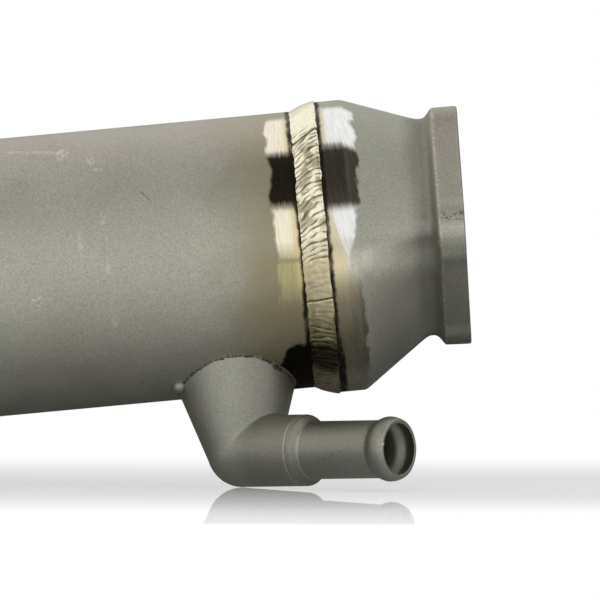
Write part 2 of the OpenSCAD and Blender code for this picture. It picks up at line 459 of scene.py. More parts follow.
@dataclass(frozen=True)
class BlastedSteel:
    """Bare steel roughened by blasting: a fine speckle over faint clouds."""

    tone: Colour = (0.446, 0.442, 0.373)
    roughness: float = 0.56
    grain: float = 0.95
    speckle: float = 0.36
    relief: float = 0.05
    mottle: float = 0.12

    def lay(self, point: Value) -> Coat:
        """Starts a coat at coordinates in millimetres.

        Args:
            point: Coordinates in millimetres.

        Returns:
            The blasted coat.
        """
        grain, cloud = point.noise(1.0 / self.grain, 3.0, 0.65), point.noise(0.035, 4.0, 0.55)
        half = self.speckle / 2
        shade = grain.step(0.2, 0.8, 1.0 - half, 1.0 + half) * cloud.step(0.25, 0.75, 0.95, 1.05)
        rough = cloud * self.mottle + (self.roughness - self.mottle / 2)
        return Coat(shade.of(self.tone), rough, grain * self.relief)


@dataclass(frozen=True)
class HeatTint:
    """Straw and brown oxide that the welding heat left on the steel."""

    straw: Colour = (0.42, 0.375, 0.25)
    brown: Colour = (0.285, 0.24, 0.13)
    far_x: float = -122.0
    near_x: float = -84.0
    low_lifts: Band = (-52.0, 6.0, 16.0)
    smoke_lifts: Band = (8.0, 52.0, 14.0)
    straw_share: float = 0.55
    low_share: float = 0.72
    smoke_share: float = 0.45
    drift: float = 30.0

    def lay(self, coat: Coat, point: Value) -> Coat:
        """Tints a coat towards the weld.

        Args:
            coat: Coat underneath.
            point: Coordinates in millimetres.

        Returns:
            The marked coat.
        """
        drift = point.noise(0.06) * self.drift - self.drift / 2
        near = (point.parts[0] + drift).step(self.far_x, self.near_x)
        low = near * (point.lift + drift).between(*self.low_lifts)
        smoke = near * point.lift.between(*self.smoke_lifts)
        coat = coat.painted(near * self.straw_share, self.straw)
        coat = coat.painted(smoke * self.smoke_share, self.brown)
        return coat.painted(low * self.low_share, self.brown)


@dataclass(frozen=True)
class Ripples:
    """Leaning ripples of a weld, the same for its shape and for the painted shade in its creases."""

    middle_x: float = -69.3
    pitch: float = 2.9
    lean: float = 0.5
    bow: float = 0.033
    waves: tuple[tuple[float, float, float, float], ...] = (
        (0.8, 0.19, 0.12, 0.0), (0.55, 0.47, -0.28, 1.3), (0.3, 0.9, 0.5, 4.0))
    swells: tuple[Band, Band] = ((0.37, 0.5, 1.0), (0.59, -0.7, 0.0))
    stops: tuple[Band, ...] = ((-23.8, 0.6, 0.2), (57.0, 1.1, 0.55))
    stop_depth: float = 0.7
    lean_lifts: Span = (-30.0, 10.0)
    top_lifts: Span = (51.0, 60.0)
    calm_from: Span = (2.0, 9.0)
    calm_to: Span = (31.0, 36.0)
    calm_share: float = 0.75

    def depth(self, lift: object, x: object) -> object:
        """Depth of the creases, for plain numbers or for material values.

        Args:
            lift: Angle round the shell in degrees.
            x: Place along the shell in millimetres.

        Returns:
            The depth from 0 to 1, 0 on a ripple's back.
        """
        turn, wide = lift * DEGREE, x - self.middle_x
        arc = turn * LAYOUT.shell_r
        deg = do("ARCSINE", do("SINE", turn)) * (1.0 / DEGREE)

        def wave(along: float, across: float, start: float) -> object:
            """Sine over both directions."""
            return do("SINE", arc * along + wide * across + start)

        path = arc - stepped(deg, *self.lean_lifts, 0.0, self.lean) * wide + wide * wide * self.bow
        for size, along, across, start in self.waves:
            path = path + wave(along, across, start) * size
        ridge = do("ABSOLUTE", do("SINE", path * (math.pi / self.pitch)))
        down = deg * -1.0
        calm = stepped(down, *self.calm_from) - stepped(down, *self.calm_to)
        strong = stepped(deg, *self.top_lifts, 1.0, 0.2) * (1.0 - calm * self.calm_share)
        swell = wave(*self.swells[0]) * wave(*self.swells[1]) * 0.38 + 0.62
        deep = (1.0 - do("SQRT", ridge)) * (strong * swell)
        for place, half, slope in self.stops:
            off = do("ABSOLUTE", arc - wide * slope - place)
            deep = do("MAXIMUM", deep, stepped(off, 0.3 * half, half, self.stop_depth, 0.0))
        return deep


RIPPLES = Ripples()


@dataclass(frozen=True)
class BrushedBand:
    """Band that a wire brush polished in overlapping daubs beside the weld; over a band of lifts the daubs are
    painted almost black, a painted reflection of dark surroundings.
    """

    from_x: float
    to_x: float
    wave_low: float
    wave_high: float
    tones: tuple[tuple[float, Colour], ...]
    fade_from: float
    fade_to: float
    roughness: float = 0.15
    bare_from: float = 71.0
    bare_to: float = 98.0
    thin_from: float = -172.0
    thin_to: float = -168.0
    gap: float = -4.3
    lean: float = 0.0
    thin_share: float = 0.5
    dark_reflection_x: float = -95.0
    dark_reflection_from: float = 18.5
    dark_reflection_to: float = 44.0
    reflected_dark: Colour = (0.03, 0.023, 0.015)
    taper: float = 0.0
    gilt: Colour = (0.66, 0.54, 0.28)
    gilt_reach: Span = (8.3, 10.6)
    gilt_lifts: Span = (-26.0, -4.0)
    trim_lifts: Band = (-12.0, 2.0, 8.0)
    behind: Span = (146.0, 160.0)
    fray: float = 1.6
    edge: float = 0.9

    def lay(self, coat: Coat, point: Value) -> Coat:
        """Polishes a coat between two X values.

        Args:
            coat: Coat underneath.
            point: Coordinates in millimetres.

        Returns:
            The coat with the band.
        """
        (x, y, z), lift, edge = point.parts, point.lift, self.edge
        lumps = point.streaks(0.01, 0.075, 2.0) - 0.5
        hairs = point.graph.join(z * self.lean + x, y, z).streaks(1.7, 0.09, 2.0) - 0.5
        frayed = hairs * self.fray + x
        low = lumps * self.wave_low + frayed
        trim = lift.between(*self.trim_lifts) * self.taper + lift.step(13.0, 17.0, 0.5 * self.taper, 0.0)
        high = lumps * self.wave_high + frayed + trim
        mask = low.step(self.from_x - edge, self.from_x + edge) * high.drop(self.to_x - edge, self.to_x + edge)
        kept = (hairs * 10.0 + lift).step(self.fade_from, self.fade_to)
        kept = kept * (hairs * 30.0 + lift).drop(*self.behind)
        kept = kept * (1.0 - (hairs * 8.0 + lift).between(self.bare_from, self.bare_to, 3.0))
        thin = (hairs * 40.0 + lift).step(self.thin_from, self.thin_to)
        gap = (hairs * 1.8 + lift).between(self.gap - edge, self.gap + edge, 0.7)
        mask = mask * (kept * thin.number(self.thin_share, 1.0)) * (1.0 - gap * 0.75)
        # Band colour by lift: heat tint, and painted reflection that is lighter over the top.
        tone = (hairs * thin.number(1.3, 0.5) + 1.0).of(lift.step(-90.0, 90.0).ramp(self.tones))
        from_weld = do("ABSOLUTE", frayed - RIPPLES.middle_x) - lift.step(-8.0, 15.0, self.taper, 0.0)
        gilded = from_weld.step(*self.gilt_reach, 0.7, 0.0) * lift.step(*self.gilt_lifts, 0.2, 1.0)
        tone = gilded.blend(tone, self.gilt)
        # Painted reflection: over a band of lifts the daubs are painted almost black, where the polish would
        # mirror dark surroundings.
        painted_dark_reflection = (hairs * 4.0 + lift).between(self.dark_reflection_from, self.dark_reflection_to, 2.5)
        painted_dark_reflection = painted_dark_reflection * x.step(self.dark_reflection_x, self.dark_reflection_x + 1.5)
        tone = painted_dark_reflection.blend(tone, (hairs * 0.9 + 1.0).of(self.reflected_dark))
        rough = painted_dark_reflection.number(hairs * 0.14 + thin.number(0.44, self.roughness), 0.42)
        return coat.painted(mask, tone, rough, hairs * 0.05)


@dataclass(frozen=True)
class DarkLine:
    """Narrow dark line along one toe of the weld, wider over a range of lifts."""

    from_x: float
    to_x: float
    low_from: float
    low_to: float
    low_bottom: float
    low_top: float
    tone: Colour = (0.022, 0.018, 0.012)
    wander: float = 2.2
    edge: float = 0.75

    def lay(self, coat: Coat, point: Value) -> Coat:
        """Draws the line on a coat.

        Args:
            coat: Coat underneath.
            point: Coordinates in millimetres.

        Returns:
            The marked coat.
        """
        x = (point.streaks(0.05, 0.22) - 0.5) * self.wander + point.parts[0]
        low = point.lift.between(self.low_bottom, self.low_top, 8.0)
        mask = x.between(low * self.low_from + self.from_x, low * self.low_to + self.to_x, self.edge)
        return coat.painted(mask * point.streaks(0.3, 0.09).step(0.3, 0.55, 0.72, 1.0), self.tone)


@dataclass(frozen=True)
class SootAndDarkReflection:
    """Black smear low down between the elbow and the weld, its upper edge falling towards the elbow: soot, and
    painted dark reflection of the shade beneath.
    """

    top: float = -43.0
    edge_x: float = -84.3
    slope: float = 2.0
    far_x: float = -93.0
    tone: Colour = (0.012, 0.0095, 0.005)
    roughness: float = 0.6
    ragged: float = 9.0
    behind: Span = (-112.0, -92.0)

    def lay(self, coat: Coat, point: Value) -> Coat:
        """Blackens a coat below the smear's edge.

        Args:
            coat: Coat underneath.
            point: Coordinates in millimetres.

        Returns:
            The marked coat.
        """
        x, lift = point.parts[0], point.lift
        level = do("MAXIMUM", self.edge_x - x, 0.0) * self.slope + lift
        level = point.noise(0.2, 3.0, 0.55) * self.ragged + level
        mask = level.drop(self.top + 3.0, self.top + 6.5) * x.step(self.far_x - 2.0, self.far_x + 2.0)
        return coat.painted(mask * lift.step(*self.behind), self.tone, self.roughness)


@dataclass(frozen=True)
class Scuff:
    """One light rub, dark hairline or darker cloud on the shell."""

    x: float
    lift: float
    half_x: float
    half_lift: float
    slant: float
    share: float
    tone: Colour = (0.66, 0.65, 0.605)

    def lay(self, coat: Coat, point: Value) -> Coat:
        """Rubs a coat at one place.

        Args:
            coat: Coat underneath.
            point: Coordinates in millimetres.

        Returns:
            The marked coat.
        """
        x, up = point.parts[0] - self.x, point.lift - self.lift
        along, across = x * (1.0 / self.half_x), (x * -self.slant + up) * (1.0 / self.half_lift)
        broken = point.noise(0.55, 3.0, 0.7).step(0.42, 0.6)
        return coat.painted((along * along + across * across).drop(0.3, 1.1) * broken * self.share, self.tone)


# Brushed band colours by lift, from the bottom to the top: heat-tint gold and brown, and painted reflection
# too, dark below the middle and near-white above it.
SHELL_TONES = (
    (0.0, (0.30, 0.25, 0.16)), (0.36, (0.43, 0.38, 0.20)), (0.47, (0.46, 0.41, 0.21)),
    (0.53, (0.86, 0.79, 0.61)), (0.75, (0.86, 0.79, 0.63)), (1.0, (0.84, 0.78, 0.63)),
)
CAP_TONES = (
    (0.0, (0.50, 0.48, 0.41)), (0.05, (0.48, 0.45, 0.38)), (0.1, (0.19, 0.165, 0.115)),
    (0.2, (0.2, 0.17, 0.11)), (0.32, (0.2, 0.17, 0.11)), (0.355, (0.27, 0.235, 0.155)),
    (0.395, (0.43, 0.39, 0.29)), (0.44, (0.58, 0.55, 0.46)), (0.53, (0.94, 0.93, 0.90)),
    (1.0, (0.94, 0.93, 0.90)),
)
SCUFFS = (
    Scuff(-194.0, 60.9, 16.0, 1.5, -0.17, 0.75), Scuff(-180.4, 57.1, 3.5, 5.0, 0.3, 0.8),
    Scuff(-167.8, 51.8, 2.4, 4.5, -0.8, 0.65), Scuff(-164.6, 45.0, 2.6, 1.1, 0.0, 0.8),
    Scuff(-143.9, 28.8, 4.6, 0.6, -1.2, 0.65, (0.12, 0.11, 0.09)),
    Scuff(-164.4, 20.6, 1.6, 3.6, 0.0, 0.6), Scuff(-175.4, 10.7, 1.5, 6.0, -0.5, 0.45),
    Scuff(-163.9, -0.3, 1.2, 3.8, 0.0, 0.6), Scuff(-197.9, -10.3, 3.2, 1.0, 0.1, 0.95),
    Scuff(-195.4, -13.1, 2.4, 0.9, 0.1, 0.9), Scuff(-163.2, -23.4, 1.9, 3.0, 0.2, 0.6),
    Scuff(-155.6, 63.9, 0.9, 1.2, 0.0, 0.5), Scuff(-128.6, 59.1, 0.5, 3.0, 0.0, 0.45),
    # A broad, darker greenish cloud.
    Scuff(-200.9, 39.5, 6.0, 6.0, 0.0, 0.3, (0.26, 0.26, 0.22)),
    Scuff(-330.0, 20.0, 9.0, 1.8, 0.3, 0.6), Scuff(-395.0, -30.0, 3.0, 4.0, 0.4, 0.5),
    Scuff(-300.0, 120.0, 14.0, 2.0, 0.1, 0.6), Scuff(-220.0, 150.0, 3.0, 5.0, -0.4, 0.5),
    Scuff(-410.0, -140.0, 12.0, 2.0, 0.1, 0.5),
)
SHELL_MARKS = (
    HeatTint(), BrushedBand(-86.9, -74.0, 7.0, 0.0, SHELL_TONES, -24.0, -18.0),
    DarkLine(-77.3, -74.2, 0.9, 0.0, -20.0, 14.0),
)
CAP_MARKS = (
    BrushedBand(-64.0, -46.8, 0.0, 9.0, CAP_TONES, -84.0, -74.0, 0.16, thin_from=-6.0, thin_to=8.0,
                gap=-175.0, lean=0.22, thin_share=0.8, dark_reflection_from=15.0, dark_reflection_to=43.0, taper=4.6,
                reflected_dark=(0.085, 0.073, 0.055)),
    BrushedBand(-48.2, -43.6, 0.0, 3.0, CAP_TONES, -16.0, -13.0, bare_from=-3.5, bare_to=110.0,
                thin_from=60.0, thin_to=70.0, thin_share=0.4, gap=-175.0),
    DarkLine(-63.9, -61.6, 0.0, 1.6, -85.0, -44.0),
)


@dataclass(frozen=True)
class ShellFinish:
    """The shell: blasted steel, scuffed, tinted and brushed beside its welds, its brushed band partly painted
    reflection, with soot and painted dark reflection low by the front elbow.
    """

    steel: BlastedSteel = BlastedSteel()
    rosy: Colour = (1.02, 0.965, 0.985)
    rosy_lifts: Band = (46.0, 84.0, 8.0)

    def material(self) -> Material:
        """Makes the shell's material.

        Returns:
            The finished material.
        """
        g = Graph("shell_steel")
        real, point = g.place(End.FRONT), g.place_both()
        coat = self.steel.lay(real)
        for scuff in SCUFFS:
            coat = scuff.lay(coat, real)
        coat = coat.painted(real.lift.between(*self.rosy_lifts), coat.colour.times(self.rosy))
        for mark in SHELL_MARKS:
            coat = mark.lay(coat, point)
        # Painted dark reflection with soot, low between the front elbow and the weld.
        return g.finish(SootAndDarkReflection().lay(coat, real))


@dataclass(frozen=True)
class CapFinish:
    """A cast cap: blasted steel, brushed at its rim, with a faced gasket side and painted light and shade on
    its flange and neck.
    """

    end: End
    steel: BlastedSteel = BlastedSteel(tone=(0.485, 0.481, 0.407), roughness=0.58)
    faced: Colour = (0.56, 0.55, 0.52)
    faced_rough: float = 0.28
    rosy: Colour = (1.04, 0.98, 0.97)
    pit: Colour = (0.07, 0.065, 0.05)
    pit_z: Band = (2.6, 6.4, 1.6)
    pit_depth: float = 0.12
    back_edge_highlight: Band = (-12.2, -10.8, 0.5)
    face_depth: Span = (-0.5, -0.2)

    def material(self) -> Material:
        """Makes the cap's material.

        Returns:
            The finished material.
        """
        g = Graph(self.end.value + "_cap_steel")
        point = g.place(self.end)
        depth = point.dot(tuple(LAYOUT.flange_frame().col[0].xyz))
        coat = self.steel.lay(point)
        for mark in CAP_MARKS:
            coat = mark.lay(coat, point)
        coat = self.flange_light_and_pits(coat, point, depth)
        _, y, z = point.parts
        turned = do("SINE", point.noise(0.2) * 3.0 + g.join(0.0, y, z).length() * 7.0)
        tone = (turned * 0.05 + 1.0).of(self.faced)
        return g.finish(coat.painted(depth.step(*self.face_depth), tone, self.faced_rough, turned * 0.006))

    def flange_light_and_pits(self, coat: Coat, point: Value, depth: Value) -> Coat:
        """Paints light and shade on the flange and on the cone by it, and pits the flange beside its near ear.

        Args:
            coat: Coat underneath.
            point: Coordinates in millimetres.
            depth: Distance in front of the gasket face.

        Returns:
            The marked coat.
        """
        x, y, z = point.parts
        near, flange = y.drop(-36.0, -30.0), x.step(-14.0, -11.0)
        side = near * x.step(-12.5, -11.0)
        upper_flange = flange * z.step(-16.0, -6.0)
        # Painted shade: darker from the neck on, and over the top.
        shade = x.step(-27.0, -17.5, 1.0, 0.68) * z.step(-9.0, -3.0, 1.0, 0.88)
        # Painted light: the upper flange, the near ear, the cone below it and the lower flange are lighter,
        # with a broken painted highlight along the back edge.
        for mark, share in (
                (upper_flange, 0.22), (z.between(-15.0, 0.5, 2.5) * side, 0.2),
                (z.between(-13.0, -9.0, 3.0) * side, 0.6),
                (z.between(-19.0, -9.0, 5.0) * near * x.drop(-16.0, -13.0), 0.3),
                (depth.between(*self.back_edge_highlight) * point.noise(0.7).step(0.35, 0.65), 0.28),
                (flange * z.drop(-22.0, -16.0), 0.1)):
            shade = mark * share + shade
        colour = shade.of(coat.colour)
        colour = (upper_flange * z.step(0.0, 4.0)).blend(colour, colour.times(self.rosy))
        spot = z.between(*self.pit_z) * y.drop(-44.0, -40.0)
        pits = point.noise(0.6, 3.0, 0.6).step(0.5, 0.6) * (spot * upper_flange)
        return Coat((pits * 0.8).blend(colour, self.pit), coat.roughness, pits * -self.pit_depth + coat.height)


@dataclass(frozen=True)
class WeldFinish:
    """Brushed weld metal in cream and gold, with painted shade in its ripple creases, olive patches of painted
    dark reflection, and a dark band low down at the front's near side that is soot and painted dark
    reflection.
    """

    end: End
    cream: Colour = (0.97, 0.91, 0.71)
    beige: Colour = (0.62, 0.54, 0.34)
    olive: Colour = (0.34, 0.30, 0.18)
    shade: Colour = (0.12, 0.098, 0.045)
    soot_and_reflection: Colour = (0.02, 0.016, 0.01)
    soot_and_reflection_lifts: Band = (-58.0, -42.0, 3.0)
    reflection_patch_lifts: Band = (8.0, 46.0, 5.0)
    olive_lifts: Band = (-110.0, -30.0, 7.0)

    def material(self) -> Material:
        """Makes the weld's material.

        Returns:
            The finished material.
        """
        g = Graph(self.end.value + "_weld_metal")
        point = g.place(self.end)
        lift = point.lift
        blotch, fine = point.noise(0.2, 4.0, 0.65) - 0.5, point.noise(0.9, 3.0, 0.6)
        warm = blotch * 36.0 + lift
        # Olive patches over the band of lifts where the polish beside the weld mirrors dark surroundings:
        # painted dark reflection.
        reflection_patch = point.noise(0.16).step(0.44, 0.56) * lift.between(*self.reflection_patch_lifts)
        crease = RIPPLES.depth(lift, point.parts[0])
        # Low at the front's near side the weld is painted almost black: soot, and painted dark reflection.
        black = (blotch * 12.0 + lift).between(*self.soot_and_reflection_lifts) if self.end is End.FRONT else 0.0
        colour = self.cream
        for share, tone in (
                (warm.drop(-12.0, 12.0), self.beige), (warm.between(*self.olive_lifts), self.olive),
                (fine.step(0.5, 0.7) * 0.25, self.olive), (reflection_patch * 0.82, self.olive),
                # Ripple creases painted darker: painted shade, laid over their relief.
                (lift.drop(-66.0, -56.0) * 0.7, self.beige), (crease.step(0.08, 0.45) * 0.88, self.shade),
                (crease.step(0.05, 0.3, 0.8, 0.97) * black, self.soot_and_reflection)):
            colour = share.blend(colour, tone)
        return g.finish(Coat(colour, fine.step(0.3, 0.7, 0.3, 0.44), fine * 0.14))


def from_barrel(point: Value) -> tuple[Value, Value]:
    """Place of a point by the front barrel.

    Args:
        point: Coordinates in millimetres.

    Returns:
        Distance along the barrel from the elbow's corner, and distance from its axis.
    """
    matrix = LAYOUT.barrel_frame()
    away, axis = point.minus(tuple(matrix.translation)), tuple(matrix.col[2].xyz)
    along = away.dot(axis)
    return along, away.minus(along.of(axis)).length()


@dataclass(frozen=True)
class ElbowFinish:
    """Elbow and tack weld: blasted steel with its barrel painted darker, soot and painted shade on the side
    facing the weld, a painted highlight ring at the barrel's end and one casting flaw.
    """

    end: End
    steel: BlastedSteel = BlastedSteel(tone=(0.405, 0.402, 0.342), grain=0.8)
    barrel_shade: float = 0.79
    end_highlight: Band = (34.6, 35.2, 0.3)
    smoke: Colour = (1.12, 1.0, 0.76)
    flaw_at: Colour = (-91.7, 0.0, -57.5)
    flaw_tone: Colour = (0.08, 0.075, 0.06)

    def material(self) -> Material:
        """Makes the elbow's material.

        Returns:
            The finished material.
        """
        g = Graph(self.end.value + "_elbow_steel")
        point = g.place(self.end)
        coat = self.steel.lay(point)
        along, _ = from_barrel(point)
        x, y, z = point.parts
        # The barrel is painted darker: painted shade.
        colour = along.step(4.0, 16.0, 1.0, self.barrel_shade).of(coat.colour)
        # Painted shade with soot: the side facing the weld is darker and warmer.
        smoke_and_shade = x.step(-97.0, -84.0) * z.step(-80.0, -62.0)
        colour = (1.0 - smoke_and_shade * 0.5).of(colour)
        colour = smoke_and_shade.blend(colour, colour.times(self.smoke))
        # A painted highlight ring at the barrel's end.
        colour = (along.between(*self.end_highlight) * 0.45 + 1.0).of(colour)
        away = point.minus(self.flaw_at)
        off = g.join(away.dot((0.55, 0.0, -0.42)), away.dot((0.95, 0.0, 1.3)), 0.0).length()
        flaw = (point.noise(0.5) * 3.0 + off).step(2.9, 3.6, 0.85, 0.0) * do("LESS_THAN", y, 0.0)
        return g.finish(Coat(flaw.blend(colour, self.flaw_tone), coat.roughness, coat.height))


@dataclass(frozen=True)
class BrazeFinish:
    """Braze in the corner between shell and elbow: dark, with bright crumbs."""

    end: End
    dark: Colour = (0.13, 0.125, 0.10)
    crumb: Colour = (0.33, 0.325, 0.28)

    def material(self) -> Material:
        """Makes the braze's material.

        Returns:
            The finished material.
        """
        g = Graph(self.end.value + "_braze")
        crumbs = g.place(self.end).noise(0.5, 3.0, 0.65).step(0.44, 0.56)
        return g.finish(Coat(crumbs.blend(self.dark, self.crumb), crumbs.number(0.6, 0.4), crumbs * 0.08))


@dataclass(frozen=True)
class StubFinish:
    """Dull formed tube with forming marks round it, painted highlights on the collar, the shoulder and the
    lip, painted light and shade on its bead and in its bore, a scratch and a painted lighter rim.
    """

    end: End
    steel: BlastedSteel = BlastedSteel(tone=(0.30, 0.298, 0.254), roughness=0.5, grain=0.7, speckle=0.3)
    groove_shade: Band = (79.0, 80.4, 0.5)
    highlight_rings: tuple[Band, ...] = ((35.8, 36.05, 0.2), (36.75, 37.1, 0.2), (40.1, 41.0, 0.6))
    glint_at: Colour = (-46.5, 0.0, -96.2)
    scratch_at: Colour = (-77.7, 0.0, -101.8)
    scratch_way: Span = (0.941, 0.339)

    def material(self) -> Material:
        """Makes the stub's material.

        Returns:
            The finished material.
        """
        g = Graph(self.end.value + "_stub_steel")
        point = g.place(self.end)
        coat = self.steel.lay(point)
        along, out = from_barrel(point)
        marks = g.join(along, 0.0, 0.0).noise(1.3, 3.0, 0.7)
        # Painted light and shade on the bead: its crest darker, its lip lighter, and a dark painted line at
        # its foot.
        bead = along.step(78.5, 81.0, 1.0, 0.82) * along.step(84.0, 88.2, 1.0, 1.5)
        bead = along.between(*self.groove_shade) * -0.28 + bead
        bulge = along.step(77.5, 83.6, 0.0, 1.5) - along.step(84.5, 88.4, 0.0, 1.35)
        # Painted light and shade in the bore: darker deep inside, lighter towards the mouth, and less light in
        # the flare.
        bore = along.step(66.0, 80.0, 0.4, 2.3) * along.step(82.2, 83.4, 1.0, 0.5)
        shade = marks.step(0.3, 0.7, 0.9, 1.1) * (out - bulge).drop(12.1, 12.5).number(bead, bore)
        # Painted highlights: a glint on the lip, and light lines round the collar's edges and at the
        # shoulder's foot.
        highlights = point.minus(self.glint_at).times((1.0, 0.0, 1.0)).length().step(0.35, 1.0, 4.0, 0.0)
        for ring in self.highlight_rings:
            highlights = highlights + along.between(*ring)
        shade = (highlights * 0.5 + shade) * self.scratch(point)
        return g.finish(Coat(shade.of(coat.colour), coat.roughness, coat.height + marks * 0.02))

    def scratch(self, point: Value) -> Value:
        """Factor that darkens a broken scratch on the stub's near side.

        Args:
            point: Coordinates in millimetres.

        Returns:
            The factor.
        """
        away, (cos, sin) = point.minus(self.scratch_at), self.scratch_way
        across = point.noise(0.7) * 1.4 + away.dot((-sin, 0.0, cos))
        mask = away.dot((cos, 0.0, sin)).between(0.0, 14.5, 0.8) * across.between(0.5, 0.9, 0.25)
        return 1.0 - mask * point.noise(0.6).step(0.4, 0.52) * 0.6


@dataclass(frozen=True)
class PlainSteel:
    """Drawn or turned steel inside the cooler, with fine streaks along or round X."""

    name: str
    tone: Colour
    roughness: float
    stretch: Span

    def material(self) -> Material:
        """Makes the steel's material.

        Returns:
            The finished material.
        """
        g = Graph(self.name)
        point = g.place(End.FRONT)
        streak, cloud = point.streaks(*self.stretch), point.noise(0.08, 3.0)
        shade = streak.step(0.25, 0.75, 0.85, 1.15) * cloud.step(0.3, 0.7, 0.9, 1.05)
        return g.finish(Coat(shade.of(self.tone), streak * 0.16 + (self.roughness - 0.08), streak * 0.02))


def lathe(profile: Sequence[Span], steps: int, closed: bool = True) -> Mesh:
    """Spins an outline about the local Z axis.

    Args:
        profile: Radius and height of each corner.
        steps: Faces round the axis.
        closed: Whether the outline's last corner joins its first.

    Returns:
        The spun mesh.
    """
    bm = bmesh.new()
    verts = [bm.verts.new((r, 0.0, h)) for r, h in profile]
    pairs = list(zip(verts, verts[1:])) + ([(verts[-1], verts[0])] if closed else [])
    edges = [bm.edges.new(pair) for pair in pairs]
    bmesh.ops.spin(bm, geom=verts + edges, cent=(0.0, 0.0, 0.0), axis=(0.0, 0.0, 1.0),
                   angle=TURN, steps=steps, use_merge=True)
    bmesh.ops.remove_doubles(bm, verts=bm.verts, dist=MERGE)
    bmesh.ops.recalc_face_normals(bm, faces=bm.faces)
    return bm


def rounded(corners: Sequence[tuple[Vector, float]], steps: int = 4) -> list[Vector]:
    """Rounds the corners of an open line.

    Args:
        corners: Each corner and how far back its rounding starts; 0 keeps it sharp.
        steps: Pieces of each rounding.

    Returns:
        The line's points, as many for every line with the same rounded corners.
    """
    points: list[Vector] = []
    for i, (corner, reach) in enumerate(corners):
        if reach <= 0.0 or i in (0, len(corners) - 1):
            points.append(corner)
            continue
        before, after = corners[i - 1][0] - corner, corners[i + 1][0] - corner
        start = corner + before.normalized() * min(reach, before.length * 0.48)
        stop = corner + after.normalized() * min(reach, after.length * 0.48)
        for k in range(steps + 1):
            t = k / steps
            points.append(start.lerp(corner, t).lerp(corner.lerp(stop, t), t))
    return points


def loft(sections: Sequence[Sequence[Vector]]) -> Mesh:
    """Extrudes a circle ring by ring through sections that each lie in one direction.

    Args:
        sections: For each direction round the axis, its closed line of points.

    Returns:
        The closed mesh.
    """
    bm = bmesh.new()
    lane = bm.verts.layers.int.new("lane")
    made = bmesh.ops.create_circle(bm, segments=len(sections), radius=1.0, cap_ends=False)
    for i, vert in enumerate(made["verts"]):
        vert[lane] = i
        vert.co = sections[i][0]
    edges = list(bm.edges)
    for k in range(1, len(sections[0]) + 1):
        geom = bmesh.ops.extrude_edge_only(bm, edges=edges)["geom"]
        fresh = {g for g in geom if isinstance(g, bmesh.types.BMVert)}
        for vert in fresh:
            line = sections[vert[lane]]
            vert.co = line[k % len(line)]
        edges = [g for g in geom if isinstance(g, bmesh.types.BMEdge)
                 and g.verts[0] in fresh and g.verts[1] in fresh]
    bmesh.ops.remove_doubles(bm, verts=bm.verts, dist=MERGE)
    bmesh.ops.recalc_face_normals(bm, faces=bm.faces)
    return bm


def to_object(bm: Mesh, name: str, matrix: Matrix | None = None, sharp: float = 38.0) -> Piece:
    """Makes an object in metres from a mesh in millimetres.

    Args:
        bm: Mesh, which is freed.
        name: Name of the object.
        matrix: Place of the mesh, in millimetres.
        sharp: Edges over this angle stay sharp.

    Returns:
        The object, at the origin.
    """
    if matrix is not None:
        bmesh.ops.transform(bm, matrix=matrix, verts=bm.verts)
    bmesh.ops.scale(bm, vec=(MM, MM, MM), verts=bm.verts)
    for face in bm.faces:
        face.smooth = True
    mesh = bpy.data.meshes.new(name)
    bm.to_mesh(mesh)
    bm.free()
    mesh.set_sharp_from_angle(angle=math.radians(sharp))
    piece = bpy.data.objects.new(name, mesh)
    bpy.context.scene.collection.objects.link(piece)
    return piece


def bake_modifiers(piece: Piece) -> None:
    """Replaces a piece's mesh by its modified mesh and drops the modifiers.

    Args:
        piece: The piece to settle.
    """
    bpy.context.view_layer.update()
    seen = piece.evaluated_get(bpy.context.evaluated_depsgraph_get())
    mesh = bpy.data.meshes.new_from_object(seen)
    piece.modifiers.clear()
    old = piece.data
    piece.data = mesh
    bpy.data.meshes.remove(old)


def coat_mesh(piece: Piece, finish: Material) -> None:
    """Makes a material the only one of a piece.

    Args:
        piece: The piece to coat.
        finish: Material of the piece.
    """
    piece.data.materials.clear()
    piece.data.materials.append(finish)
    LOG.info("%s: %d faces, %s", piece.name, len(piece.data.polygons), finish.name)


def dress(piece: Piece, finish: Material, node: str) -> Piece:
    """Gives a new piece its finish and its place on the cooler.

    Args:
        piece: The new piece.
        finish: Its material.
        node: Solid that it stands for.

    Returns:
        The same piece.
    """
    coat_mesh(piece, finish)
    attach(piece, "root")
    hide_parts(node)
    return piece


